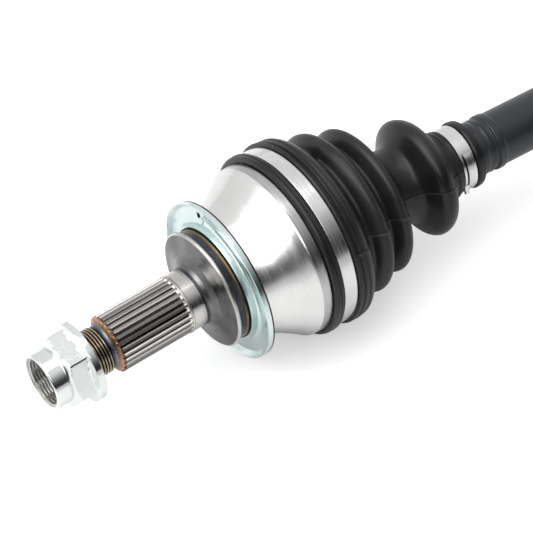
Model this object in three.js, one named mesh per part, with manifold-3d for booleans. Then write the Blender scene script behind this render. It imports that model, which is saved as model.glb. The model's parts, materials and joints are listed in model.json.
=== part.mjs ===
// A car's constant-velocity drive axle: an outer ball joint, a tubular half shaft
// and an inner tripod joint, each with its rubber boot and clamps.
// Units are millimetres. The shaft lies along +X, the wheel end is at -X and +Z is up.
import * as THREE from 'three';
import { mergeVertices } from 'three/addons/utils/BufferGeometryUtils.js';
import Module from 'manifold-3d';

const wasm = await Module();
wasm.setup();

// ---------------------------------------------------------------- driving dimensions

const SIDES = 24; // facets round every large turned part, with a flat underneath
const GAP = 0.3; // clearance between neighbouring pieces
const REST_BEND = THREE.MathUtils.degToRad(3.6); // the outer joint's bend as it lies
const JOINT_SPACING = 400; // from the outer joint's centre to the inner joint's centre

// Outer joint, measured along its own axis from the joint's centre.
const BALL_COUNT = 6;
const BALL_RADIUS = 7;
const BALL_CIRCLE = 25;
const TRACK_RADIUS = 8.2;
const CAGE_OUTER = 28.9;
const CAGE_INNER = 22.1;
const CAGE_HALF_WIDTH = 11.5;
const WINDOW_HALF_WIDTH = 7.4;
const WINDOW_HALF_LENGTH = 9;
const RACE_RADIUS = 21.5;
const RACE_HALF_WIDTH = 10;
const BOWL_RADIUS = 29.5;
const BOWL_FLOOR = -23;
const BELL_MOUTH = 27;
const STUB_TIP = -110;
const THREAD_RADIUS = 11.9;
const SPLINE_TIP_RADIUS = 14.7;
const SPLINE_ROOT_RADIUS = 13.5;
const SPLINE_TEETH = 28;
const SPLINE_START = -84;
const SPLINE_END = -46.7;
const HUB_FACE = -31.5; // the flat ring that the wheel bearing is clamped against

// Hub nut.
const NUT_MOUTH = -122.2;
const NUT_COLLAR_END = -113.2;
const NUT_FLANGE_START = -103;
const NUT_FLANGE_END = -99.1;
const NUT_COLLAR_RADIUS = 14.2;
const NUT_FLANGE_RADIUS = 20.4;
const NUT_ACROSS_FLATS = 33.4;
const NUT_TURN = THREE.MathUtils.degToRad(4.5); // how far the hexagon is turned as it lies

// Half shaft, measured from the outer joint's centre.
const SHAFT_SPLINE_RADIUS = 11;
const SHAFT_RADIUS = 14;
const SHAFT_OVERHANG = 16; // how far each splined end passes its joint's centre

// Inner joint, measured from the inner joint's centre.
const TRIPOD_ARMS = 3;
const TRUNNION_RADIUS = 9;
const TRUNNION_TIP = 37.8;
const ROLLER_RADIUS = 14.6;
const ROLLER_CIRCLE = 31;
const ROLLER_HALF_WIDTH = 5;
const NEEDLE_OUTER = 11.5;
const CHANNEL_HALF_WIDTH = 15.9;
const CHANNEL_DEPTH = 40;
const CUP_BORE = 27;
const CUP_MOUTH = -30;
const CUP_FLOOR = 42;
const INNER_STUB_END = 150;
const INNER_SPLINE_TEETH = 26;

// ---------------------------------------------------------------- materials

function metal(color, roughness) {
  return new THREE.MeshStandardMaterial({ color, roughness, metalness: 1 });
}

function rubber(color) {
  return new THREE.MeshStandardMaterial({ color, roughness: 0.55, metalness: 0 });
}

const FINISHES = {
  turnedSteel: () => metal(0xc9cacb, 0.25),
  zinc: () => metal(0xd9dedd, 0.35),
  clampSteel: () => metal(0xd0d2d4, 0.3),
  bearingSteel: () => metal(0xb9bcc0, 0.2),
  springSteel: () => metal(0x5a5d62, 0.4),
  forgedSteel: () => metal(0x6d7074, 0.45),
  paintedSteel: () => new THREE.MeshStandardMaterial({ color: 0x2b3138, roughness: 0.4, metalness: 0.3 }),
  rubber: () => rubber(0x141415),
};

// ---------------------------------------------------------------- shape helpers

// A profile is a closed list of [x, radius] points, listed along the outside towards +X
// and back along the inside. Radii are to the flats of the facets.
function turned(profile, sides = SIDES) {
  const cornerScale = 1 / Math.cos(Math.PI / sides);
  const points = profile.map(([x, radius]) => new THREE.Vector2(radius * cornerScale, x));
  const closesOnAxis = profile[0][1] === 0 && profile[profile.length - 1][1] === 0;
  if (!closesOnAxis) {
    points.push(points[0].clone());
  }
  const geometry = new THREE.LatheGeometry(points, sides);
  geometry.rotateY(Math.PI / sides);
  geometry.rotateZ(-Math.PI / 2);
  return geometry;
}

// Points on a circle about the origin, as [x, radius], between two angles from the +X axis.
function arcProfile(radius, startAngle, endAngle, steps) {
  const points = [];
  for (let step = 0; step <= steps; step += 1) {
    const angle = startAngle + ((endAngle - startAngle) * step) / steps;
    points.push([radius * Math.cos(angle), radius * Math.sin(angle)]);
  }
  return points;
}

// Half a cosine wave of points between two radii, for a rounded boot fold.
function foldProfile(startX, startRadius, endX, endRadius, steps) {
  const points = [];
  for (let step = 1; step <= steps; step += 1) {
    const share = step / steps;
    const ease = (1 - Math.cos(Math.PI * share)) / 2;
    points.push([startX + (endX - startX) * share, startRadius + (endRadius - startRadius) * ease]);
  }
  return points;
}

function toSolid(geometry) {
  const bare = geometry.clone();
  bare.deleteAttribute('normal');
  bare.deleteAttribute('uv');
  const merged = mergeVertices(bare, 1e-4);
  const mesh = new wasm.Mesh({
    numProp: 3,
    vertProperties: Float32Array.from(merged.attributes.position.array),
    triVerts: Uint32Array.from(merged.index.array),
  });
  return new wasm.Manifold(mesh);
}

function toGeometry(solid) {
  const mesh = solid.getMesh();
  const geometry = new THREE.BufferGeometry();
  geometry.setAttribute('position', new THREE.BufferAttribute(Float32Array.from(mesh.vertProperties), 3));
  geometry.setIndex(new THREE.BufferAttribute(Uint32Array.from(mesh.triVerts), 1));
  geometry.computeVertexNormals();
  return geometry;
}

function join(geometries) {
  return geometries.map(toSolid).reduce((total, next) => total.add(next));
}

// A straight-sided prism along X from a closed outline in the YZ plane.
function prismAlongX(outline, startX, endX) {
  const shape = new THREE.Shape(outline);
  const geometry = new THREE.ExtrudeGeometry(shape, { depth: endX - startX, bevelEnabled: false });
  geometry.rotateY(Math.PI / 2);
  geometry.translate(startX, 0, 0);
  return geometry;
}

// The toothed outline of a splined shaft.
function splineOutline(teeth, tipRadius, rootRadius) {
  const cornerAngles = [-0.3, -0.16, 0.16, 0.3]; // shares of one tooth's pitch
  const cornerRadii = [rootRadius, tipRadius, tipRadius, rootRadius];
  const outline = [];
  for (let tooth = 0; tooth < teeth; tooth += 1) {
    cornerAngles.forEach((share, corner) => {
      const angle = ((tooth + share) / teeth) * 2 * Math.PI;
      outline.push(new THREE.Vector2(Math.cos(angle), Math.sin(angle)).multiplyScalar(cornerRadii[corner]));
    });
  }
  return outline;
}

function piece(name, geometry, finish) {
  const mesh = new THREE.Mesh(geometry, FINISHES[finish]());
  mesh.name = name;
  return mesh;
}

// ---------------------------------------------------------------- outer joint

// The path that a ball's centre follows in its race: an arc about the joint's centre,
// and then a straight run towards the mouth.
function ballTrack() {
  const startAngle = THREE.MathUtils.degToRad(-38);
  const endAngle = THREE.MathUtils.degToRad(26);
  const arcSteps = 6;
  const path = new THREE.CurvePath();
  let previous = null;
  const addPoint = (x, z) => {
    const point = new THREE.Vector3(x, 0, z);
    if (previous) {
      path.add(new THREE.LineCurve3(previous, point));
    }
    previous = point;
  };
  for (let step = 0; step <= arcSteps; step += 1) {
    const angle = startAngle + ((endAngle - startAngle) * step) / arcSteps;
    addPoint(BALL_CIRCLE * Math.sin(angle), BALL_CIRCLE * Math.cos(angle));
  }
  addPoint(BELL_MOUTH + BALL_RADIUS, BALL_CIRCLE * Math.cos(endAngle));
  return path;
}

function trackCutter() {
  const section = new THREE.Shape();
  const sectionSides = 12;
  for (let corner = 0; corner < sectionSides; corner += 1) {
    const angle = ((corner + 0.5) / sectionSides) * 2 * Math.PI;
    const x = TRACK_RADIUS * Math.cos(angle);
    const y = TRACK_RADIUS * Math.sin(angle);
    if (corner === 0) {
      section.moveTo(x, y);
    } else {
      section.lineTo(x, y);
    }
  }
  section.closePath();
  return new THREE.ExtrudeGeometry(section, { steps: 12, extrudePath: ballTrack(), bevelEnabled: false });
}

function cutAroundX(solid, cutter, count) {
  let result = solid;
  for (let index = 0; index < count; index += 1) {
    const turnedCutter = cutter.clone();
    turnedCutter.rotateX((index / count) * 2 * Math.PI);
    result = result.subtract(toSolid(turnedCutter));
  }
  return result;
}

function outerHousingGeometry() {
  const bowlStart = Math.PI - Math.acos(-BOWL_FLOOR / BOWL_RADIUS);
  const bowlEnd = THREE.MathUtils.degToRad(65);
  const bowl = arcProfile(BOWL_RADIUS, bowlStart, bowlEnd, 7).reverse();
  const profile = [
    [STUB_TIP, 0],
    [STUB_TIP, THREAD_RADIUS - 1],
    [STUB_TIP + 1, THREAD_RADIUS],
    [-89.3, THREAD_RADIUS],
    [-88.6, 11.3],
    [-87.2, 11.3],
    [SPLINE_START, SPLINE_ROOT_RADIUS],
    [SPLINE_END, SPLINE_ROOT_RADIUS],
    [SPLINE_END, 14.9],
    [-44.8, 14.9],
    [-44.4, 14.2],
    [-43.8, 14.2],
    [-43.4, 15],
    [-37.9, 15],
    [-35, 16.5],
    [-33, 19.5],
    [-32, 23],
    [HUB_FACE, 26],
    [HUB_FACE, 29.6],
    [-30.9, 30.3],
    [-30, 30.3],
    [-29.6, 29],
    [-18, 29],
    [-18, 31.9],
    [-7.5, 35.9],
    [-2, 39],
    [6.2, 44.5],
    [7.2, 45.1],
    [12.1, 45.3],
    [12.1, 43.2],
    [BELL_MOUTH, 43.2],
    [BELL_MOUTH, 40.4],
    ...bowl,
    [BOWL_FLOOR, 0],
  ];
  const teeth = prismAlongX(
    splineOutline(SPLINE_TEETH, SPLINE_TIP_RADIUS, SPLINE_ROOT_RADIUS - 0.5),
    SPLINE_START + 0.5,
    SPLINE_END + 0.2,
  );
  const body = join([turned(profile), teeth]);
  return toGeometry(cutAroundX(body, trackCutter(), BALL_COUNT));
}

function hubNutGeometry() {
  const bore = THREAD_RADIUS + GAP;
  const hexStart = NUT_COLLAR_END - 0.5;
  const collar = turned([
    [NUT_MOUTH, bore + 0.5],
    [NUT_MOUTH, NUT_COLLAR_RADIUS],
    [NUT_FLANGE_START - 1, NUT_COLLAR_RADIUS],
    [NUT_FLANGE_START, NUT_FLANGE_RADIUS],
    [NUT_FLANGE_END, NUT_FLANGE_RADIUS],
    [NUT_FLANGE_END, bore],
    [NUT_MOUTH + 1, bore],
  ]);
  const hexagon = turned([
    [hexStart, bore + 0.4],
    [hexStart, NUT_ACROSS_FLATS / 2 - 1.2],
    [hexStart + 1.4, NUT_ACROSS_FLATS / 2],
    [NUT_FLANGE_START + 1.5, NUT_ACROSS_FLATS / 2],
    [NUT_FLANGE_START + 1.5, bore + 0.4],
  ], 6);
  hexagon.rotateX(NUT_TURN);
  return toGeometry(join([collar, hexagon]));
}

function dustShieldGeometry() {
  return turned([
    [-24.3, 29.3],
    [-24.3, 30.6],
    [-20.6, 30.9],
    [-19.8, 32.6],
    [-19.8, 38.5],
    [-22.6, 40.7],
    [-22.6, 41.5],
    [-19.2, 41.5],
    [-18.3, 39.6],
    [-18.3, 29.3],
  ]);
}

function cageGeometry() {
  const edge = Math.acos(CAGE_HALF_WIDTH / CAGE_OUTER);
  const innerEdge = Math.acos(CAGE_HALF_WIDTH / CAGE_INNER);
  const shell = turned([
    ...arcProfile(CAGE_OUTER, Math.PI - edge, edge, 6),
    ...arcProfile(CAGE_INNER, innerEdge, Math.PI - innerEdge, 6),
  ]);
  const straight = WINDOW_HALF_LENGTH - WINDOW_HALF_WIDTH;
  const opening = new THREE.Shape();
  opening.absarc(0, straight, WINDOW_HALF_WIDTH, 0, Math.PI);
  opening.absarc(0, -straight, WINDOW_HALF_WIDTH, Math.PI, 2 * Math.PI);
  opening.closePath();
  const window = new THREE.ExtrudeGeometry(opening, { depth: CAGE_OUTER, bevelEnabled: false, curveSegments: 6 });
  window.translate(0, 0, CAGE_INNER / 2);
  return toGeometry(cutAroundX(toSolid(shell), window, BALL_COUNT));
}

function innerRaceGeometry() {
  const edge = Math.acos(RACE_HALF_WIDTH / RACE_RADIUS);
  const bore = SHAFT_SPLINE_RADIUS + GAP;
  const body = turned([
    ...arcProfile(RACE_RADIUS, Math.PI - edge, edge, 6),
    [RACE_HALF_WIDTH, bore],
    [-RACE_HALF_WIDTH, bore],
  ]);
  return toGeometry(cutAroundX(toSolid(body), trackCutter(), BALL_COUNT));
}

function ballGeometry(index) {
  const geometry = new THREE.SphereGeometry(BALL_RADIUS, 14, 9);
  geometry.rotateX(Math.PI / 2);
  geometry.translate(0, 0, BALL_CIRCLE);
  geometry.rotateX((index / BALL_COUNT) * 2 * Math.PI);
  return geometry;
}

// ---------------------------------------------------------------- boots, clamps, rings

const BOOT_WALL = 2.2;
const COLLAR_RADIUS = 49.4; // both boots' widest collars, which the axle lies on

// The outer boot's outside, from its large end to its small end.
const OUTER_BOOT_OUTSIDE = [
  [12.6, 43.5],
  [12.6, 47.4],
  [13.6, 48.2],
  [17.2, 48.2],
  [18, 46.2],
  [26, 46.2],
  [26.6, COLLAR_RADIUS],
  [34, COLLAR_RADIUS],
  ...foldProfile(34, COLLAR_RADIUS, 42, 38, 3),
  ...foldProfile(42, 38, 50, 43.4, 3),
  ...foldProfile(50, 43.4, 57, 33, 3),
  ...foldProfile(57, 33, 64, 39.2, 3),
  ...foldProfile(64, 39.2, 75, 20.5, 4),
  [84, 20.5],
  ...foldProfile(84, 20.5, 94.5, 30.8, 3),
  [99.5, 29],
  ...foldProfile(99.5, 29, 105.5, 19, 3),
  [111, 18],
  [112.2, 15.9],
  [120.8, 15.9],
  [121.3, 17.9],
  [125.8, 17.6],
];

// The inside, from the small end back to the large end.
const OUTER_BOOT_INSIDE = [
  [125.8, 12.6],
  [111, 12.6],
  [105.5, 19 - BOOT_WALL],
  [99.5, 29 - BOOT_WALL],
  [94.5, 30.8 - BOOT_WALL],
  [84, 20.5 - BOOT_WALL],
  [75, 20.5 - BOOT_WALL],
  [69, 29.8 - BOOT_WALL],
  [64, 39.2 - BOOT_WALL],
  [57, 33 - BOOT_WALL],
  [50, 43.4 - BOOT_WALL],
  [42, 38 - BOOT_WALL],
  [35, 43.5],
];

const BEND_START = 40; // the boot follows the housing up to here
const BEND_END = 108; // and follows the shaft from here

// Turns the large end of the outer boot with the housing and leaves its small end in line.
function bendBoot(geometry) {
  const position = geometry.attributes.position;
  for (let index = 0; index < position.count; index += 1) {
    const x = position.getX(index);
    const y = position.getY(index);
    const share = THREE.MathUtils.smoothstep(x, BEND_START, BEND_END);
    const angle = REST_BEND * (1 - share);
    position.setX(index, x * Math.cos(angle) - y * Math.sin(angle));
    position.setY(index, x * Math.sin(angle) + y * Math.cos(angle));
  }
  geometry.computeVertexNormals();
  return geometry;
}

// The inner boot has four even folds between its collar and its neck.
function innerBootGeometry() {
  const foldPeaks = [46, 41.5, 36, 30.5];
  const foldValleys = [37, 31.5, 26, 19.5];
  const foldPitch = 14;
  const outside = [
    [-9.6, 44.9],
    [-9.6, 47.6],
    [-14, 48.2],
    [-15, 46.2],
    [-24, 46.2],
    [-24.6, COLLAR_RADIUS],
    [-33, COLLAR_RADIUS],
  ];
  const inside = [];
  let x = -33;
  let radius = COLLAR_RADIUS;
  foldPeaks.forEach((peak, index) => {
    outside.push(...foldProfile(x, radius, x - foldPitch / 2, foldValleys[index], 2));
    inside.push([x - foldPitch / 2, foldValleys[index] - BOOT_WALL]);
    x -= foldPitch / 2;
    if (index < foldPeaks.length - 1) {
      const nextPeak = foldPeaks[index + 1];
      outside.push(...foldProfile(x, foldValleys[index], x - foldPitch / 2, nextPeak, 2));
      inside.push([x - foldPitch / 2, nextPeak - BOOT_WALL]);
      x -= foldPitch / 2;
      radius = nextPeak;
    }
  });
  outside.push([x - 8, 17.8], [x - 9, 14.6], [x - 17.4, 14.6], [x - 18, 17.4], [x - 22, 17.2]);
  inside.push([x - 8, 12.6], [x - 22, 12.6]);
  return turned([...outside.reverse(), [-31, 44.9], ...inside]);
}

function clampGeometry(startX, endX, insideRadius, thickness) {
  return turned([
    [startX, insideRadius],
    [startX, insideRadius + thickness],
    [endX, insideRadius + thickness],
    [endX, insideRadius],
  ]);
}

function snapRingGeometry(centreX, insideRadius, outsideRadius, width) {
  return turned([
    [centreX - width / 2, insideRadius],
    [centreX - width / 2, outsideRadius],
    [centreX + width / 2, outsideRadius],
    [centreX + width / 2, insideRadius],
  ]);
}

// ---------------------------------------------------------------- half shaft

const NECK_RADIUS = 11.6;
const BOOT_SEAT_RADIUS = 12.3;
const SNAP_GROOVE_DEPTH = 1.4;
const SNAP_RING_WIDTH = 1.4;
const RACE_SNAP_X = -RACE_HALF_WIDTH - GAP - SNAP_RING_WIDTH / 2;
const SPIDER_HALF_WIDTH = 11;
const SPIDER_SNAP_X = SPIDER_HALF_WIDTH + GAP + SNAP_RING_WIDTH / 2;

// The sides of a groove that a snap ring sits in.
function grooveProfile(centreX, outsideRadius, width, depth) {
  const half = width / 2;
  return [
    [centreX - half, outsideRadius],
    [centreX - half, outsideRadius - depth],
    [centreX + half, outsideRadius - depth],
    [centreX + half, outsideRadius],
  ];
}

function shaftGeometry() {
  const outerEnd = -SHAFT_OVERHANG;
  const innerEnd = JOINT_SPACING + SHAFT_OVERHANG;
  const grooveWidth = SNAP_RING_WIDTH + 0.2;
  return turned([
    [outerEnd, 0],
    [outerEnd, SHAFT_SPLINE_RADIUS - 1],
    [outerEnd + 1, SHAFT_SPLINE_RADIUS],
    ...grooveProfile(RACE_SNAP_X, SHAFT_SPLINE_RADIUS, grooveWidth, SNAP_GROOVE_DEPTH),
    [13, SHAFT_SPLINE_RADIUS],
    [14, NECK_RADIUS],
    [102, NECK_RADIUS],
    [108, BOOT_SEAT_RADIUS],
    [126.3, BOOT_SEAT_RADIUS],
    [127, SHAFT_RADIUS + 0.3],
    [133.6, SHAFT_RADIUS + 0.3],
    [134.4, SHAFT_RADIUS - 0.5],
    [136.2, SHAFT_RADIUS - 0.5],
    [137, SHAFT_RADIUS + 0.6],
    [140.6, SHAFT_RADIUS + 0.6],
    [141.4, SHAFT_RADIUS],
    [JOINT_SPACING - 108, SHAFT_RADIUS],
    [JOINT_SPACING - 106, BOOT_SEAT_RADIUS],
    [JOINT_SPACING - 88, BOOT_SEAT_RADIUS],
    [JOINT_SPACING - 82, NECK_RADIUS],
    [JOINT_SPACING - 15, NECK_RADIUS],
    [JOINT_SPACING - 13, SHAFT_SPLINE_RADIUS],
    ...grooveProfile(JOINT_SPACING + SPIDER_SNAP_X, SHAFT_SPLINE_RADIUS, grooveWidth, SNAP_GROOVE_DEPTH),
    [innerEnd - 1, SHAFT_SPLINE_RADIUS],
    [innerEnd, SHAFT_SPLINE_RADIUS - 1],
    [innerEnd, 0],
  ]);
}

// ---------------------------------------------------------------- inner joint

const SMALL_SIDES = 16; // facets round the tripod's arms and rollers
const STUB_SNAP_X = INNER_STUB_END - 6;
const INNER_SPLINE_ROOT = 13.2;

// Stands a piece that was turned along X up on arm number `arm`, along its radius.
function ontoArm(geometry, arm) {
  geometry.rotateY(-Math.PI / 2);
  geometry.rotateX((arm / TRIPOD_ARMS) * 2 * Math.PI);
  return geometry;
}

function innerHousingGeometry() {
  const stubRadius = 13;
  const cup = turned([
    [CUP_FLOOR, 0],
    [CUP_FLOOR, CUP_BORE],
    [CUP_MOUTH, CUP_BORE],
    [CUP_MOUTH, 44.6],
    [-9.3, 44.6],
    [-9.3, 47.5],
    [36, 47.5],
    [44, 44],
    [50, 34],
    [54, 24],
    [60, 21.5],
    [60, 17.5],
    [78, 17.5],
    [80, INNER_SPLINE_ROOT],
    [141, INNER_SPLINE_ROOT],
    [142, stubRadius],
    ...grooveProfile(STUB_SNAP_X, stubRadius, SNAP_RING_WIDTH + 0.2, SNAP_GROOVE_DEPTH),
    [INNER_STUB_END - 2, stubRadius],
    [INNER_STUB_END, stubRadius - 2],
    [INNER_STUB_END, 0],
  ]);
  const teeth = prismAlongX(splineOutline(INNER_SPLINE_TEETH, 14.4, INNER_SPLINE_ROOT - 0.5), 80.5, 140);
  let body = join([cup, teeth]);
  for (let arm = 0; arm < TRIPOD_ARMS; arm += 1) {
    const length = CUP_FLOOR - CUP_MOUTH;
    const channel = new THREE.BoxGeometry(length + 2, 2 * CHANNEL_HALF_WIDTH, CHANNEL_DEPTH);
    channel.translate(CUP_MOUTH + length / 2 - 1, 0, CHANNEL_DEPTH / 2);
    channel.rotateX((arm / TRIPOD_ARMS) * 2 * Math.PI);
    body = body.subtract(toSolid(channel));
  }
  return toGeometry(body);
}

function spiderGeometry() {
  const clipCentre = ROLLER_CIRCLE + ROLLER_HALF_WIDTH + GAP + 0.5;
  const hub = turned([
    [-SPIDER_HALF_WIDTH, SHAFT_SPLINE_RADIUS + GAP],
    [-SPIDER_HALF_WIDTH, 17],
    [-SPIDER_HALF_WIDTH + 2, 18.5],
    [SPIDER_HALF_WIDTH - 2, 18.5],
    [SPIDER_HALF_WIDTH, 17],
    [SPIDER_HALF_WIDTH, SHAFT_SPLINE_RADIUS + GAP],
  ]);
  const arms = [];
  for (let arm = 0; arm < TRIPOD_ARMS; arm += 1) {
    const trunnion = turned([
      [13, 0],
      [13, TRUNNION_RADIUS],
      ...grooveProfile(clipCentre, TRUNNION_RADIUS, 1.2, 1.2),
      [TRUNNION_TIP, TRUNNION_RADIUS - 0.4],
      [TRUNNION_TIP, 0],
    ], SMALL_SIDES);
    arms.push(ontoArm(trunnion, arm));
  }
  return toGeometry(join([hub, ...arms]));
}

function needleBearingGeometry(arm) {
  const half = ROLLER_HALF_WIDTH - 0.2;
  const inside = TRUNNION_RADIUS + GAP;
  return ontoArm(turned([
    [ROLLER_CIRCLE - half, inside],
    [ROLLER_CIRCLE - half, NEEDLE_OUTER],
    [ROLLER_CIRCLE + half, NEEDLE_OUTER],
    [ROLLER_CIRCLE + half, inside],
  ], SMALL_SIDES), arm);
}

function rollerGeometry(arm) {
  const edge = Math.acos(ROLLER_HALF_WIDTH / ROLLER_RADIUS);
  const bore = NEEDLE_OUTER + 2 * GAP;
  const crown = arcProfile(ROLLER_RADIUS, Math.PI - edge, edge, 4);
  return ontoArm(turned([
    ...crown.map(([x, radius]) => [ROLLER_CIRCLE + x, radius]),
    [ROLLER_CIRCLE + ROLLER_HALF_WIDTH, bore],
    [ROLLER_CIRCLE - ROLLER_HALF_WIDTH, bore],
  ], SMALL_SIDES), arm);
}

function rollerClipGeometry(arm) {
  const start = ROLLER_CIRCLE + ROLLER_HALF_WIDTH + GAP;
  return ontoArm(turned([
    [start, 8.1],
    [start, 12],
    [start + 1, 12],
    [start + 1, 8.1],
  ], SMALL_SIDES), arm);
}

// ---------------------------------------------------------------- assembly

// Everything that turns with the wheel hub, about the outer joint's centre.
const outerAssembly = new THREE.Group();
outerAssembly.rotation.z = REST_BEND;
outerAssembly.add(
  piece('outer_joint_housing', outerHousingGeometry(), 'turnedSteel'),
  piece('hub_nut', hubNutGeometry(), 'zinc'),
  piece('dust_shield', dustShieldGeometry(), 'zinc'),
  piece('outer_boot_large_clamp', clampGeometry(18.2, 25.8, 46.5, 0.8), 'clampSteel'),
);

// The cage holds the balls in the plane that halves the joint's bend.
const cageAssembly = new THREE.Group();
cageAssembly.rotation.z = REST_BEND / 2;
cageAssembly.add(piece('outer_cage', cageGeometry(), 'forgedSteel'));
for (let index = 0; index < BALL_COUNT; index += 1) {
  cageAssembly.add(piece(`outer_ball_${index + 1}`, ballGeometry(index), 'bearingSteel'));
}

const innerAssembly = new THREE.Group();
innerAssembly.position.x = JOINT_SPACING;
innerAssembly.add(
  piece('inner_joint_housing', innerHousingGeometry(), 'forgedSteel'),
  piece('inner_boot', innerBootGeometry(), 'rubber'),
  piece('inner_boot_large_clamp', clampGeometry(-23.8, -15.2, 46.5, 0.8), 'clampSteel'),
  piece('inner_boot_small_clamp', clampGeometry(-99.2, -91.4, 14.9, 0.7), 'clampSteel'),
  piece('inner_stub_circlip', snapRingGeometry(STUB_SNAP_X, 11.9, 14.3, SNAP_RING_WIDTH), 'springSteel'),
  piece('tripod_spider', spiderGeometry(), 'forgedSteel'),
  piece('spider_circlip', snapRingGeometry(SPIDER_SNAP_X, 9.9, 13, SNAP_RING_WIDTH), 'springSteel'),
);
for (let arm = 0; arm < TRIPOD_ARMS; arm += 1) {
  innerAssembly.add(
    piece(`needle_bearing_${arm + 1}`, needleBearingGeometry(arm), 'bearingSteel'),
    piece(`tripod_roller_${arm + 1}`, rollerGeometry(arm), 'bearingSteel'),
    piece(`roller_clip_${arm + 1}`, rollerClipGeometry(arm), 'springSteel'),
  );
}

const axle = new THREE.Group();
axle.add(
  outerAssembly,
  cageAssembly,
  innerAssembly,
  piece('outer_boot', bendBoot(turned([...OUTER_BOOT_OUTSIDE, ...OUTER_BOOT_INSIDE])), 'rubber'),
  piece('outer_boot_small_clamp', clampGeometry(113, 120.4, 16.2, 0.7), 'clampSteel'),
  piece('outer_inner_race', innerRaceGeometry(), 'bearingSteel'),
  piece('outer_race_circlip', snapRingGeometry(RACE_SNAP_X, 9.9, 13, SNAP_RING_WIDTH), 'springSteel'),
  piece('axle_shaft', shaftGeometry(), 'paintedSteel'),
);

// The origin is under the middle of the axle, on the surface that it lies on.
const bounds = new THREE.Box3().setFromObject(axle, true);
const middle = bounds.getCenter(new THREE.Vector3());
axle.position.set(-middle.x, -middle.y, -bounds.min.z);

export default axle;
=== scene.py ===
import json
import math

import bmesh
import bpy
from mathutils import Matrix, Vector


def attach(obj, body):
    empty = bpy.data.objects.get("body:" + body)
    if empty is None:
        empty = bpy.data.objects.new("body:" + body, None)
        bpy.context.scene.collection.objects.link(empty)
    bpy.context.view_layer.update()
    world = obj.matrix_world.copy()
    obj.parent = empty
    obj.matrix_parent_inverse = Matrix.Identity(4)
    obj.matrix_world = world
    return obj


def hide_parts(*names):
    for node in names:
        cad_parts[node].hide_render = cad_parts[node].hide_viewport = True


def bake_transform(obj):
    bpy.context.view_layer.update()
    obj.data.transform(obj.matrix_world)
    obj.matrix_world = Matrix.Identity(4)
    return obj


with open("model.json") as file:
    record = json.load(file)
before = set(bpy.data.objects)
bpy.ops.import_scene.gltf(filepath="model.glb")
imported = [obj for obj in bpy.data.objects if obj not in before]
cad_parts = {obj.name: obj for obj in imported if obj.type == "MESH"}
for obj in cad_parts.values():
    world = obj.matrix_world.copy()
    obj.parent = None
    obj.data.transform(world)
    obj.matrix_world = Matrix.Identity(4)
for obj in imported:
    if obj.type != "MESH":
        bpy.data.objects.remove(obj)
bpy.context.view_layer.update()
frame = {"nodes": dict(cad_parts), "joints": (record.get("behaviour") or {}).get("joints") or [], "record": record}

MM = 0.001
TURN = 2 * math.pi

# ------------------------------------------------------------------ the joints' places

JOINTS = {joint["name"]: joint for joint in frame["joints"]}
OUTER_CENTRE = Vector(JOINTS["outer_bend"]["pos_m"])
INNER_CENTRE = Vector(JOINTS["inner_bend"]["pos_m"])
NUT_AXIS = Vector(JOINTS["nut_spin"]["axis"])
REST_BEND = math.atan2(NUT_AXIS.y, NUT_AXIS.x)

# Local frames in metres: X runs along the piece's own axis, the origin is a joint's centre.
OUTER = Matrix.Translation(OUTER_CENTRE) @ Matrix.Rotation(REST_BEND, 4, "Z")
SHAFT = Matrix.Translation(OUTER_CENTRE)
INNER = Matrix.Translation(INNER_CENTRE)
JOINT_SPACING = (INNER_CENTRE - OUTER_CENTRE).length / MM

# ------------------------------------------------------------------ camera

VIEW_AZIMUTH = math.radians(33.4)
VIEW_ELEVATION = math.radians(50.5)
VIEW_DISTANCE = 1.1486
LENS = 162.1
AIM_RIGHT = 0.0057  # how far right of the outer joint's centre the picture is centred
AIM_DOWN = 0.0033


def add_camera():
    level = Vector((math.sin(VIEW_AZIMUTH), math.cos(VIEW_AZIMUTH), 0))
    right = Vector((level.y, -level.x, 0))
    forward = level * math.cos(VIEW_ELEVATION) - Vector((0, 0, math.sin(VIEW_ELEVATION)))
    up = right.cross(forward)
    camera = bpy.data.objects.new("camera", bpy.data.cameras.new("camera"))
    camera.data.lens = LENS
    camera.data.sensor_width = 36
    camera.data.clip_end = 20
    aim = OUTER_CENTRE + right * AIM_RIGHT - up * AIM_DOWN
    camera.location = aim - forward * VIEW_DISTANCE
    camera.rotation_euler = forward.to_track_quat("-Z", "Y").to_euler()
    bpy.context.scene.collection.objects.link(camera)
    bpy.context.scene.camera = camera


add_camera()

# ------------------------------------------------------------------ material nodes


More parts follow.
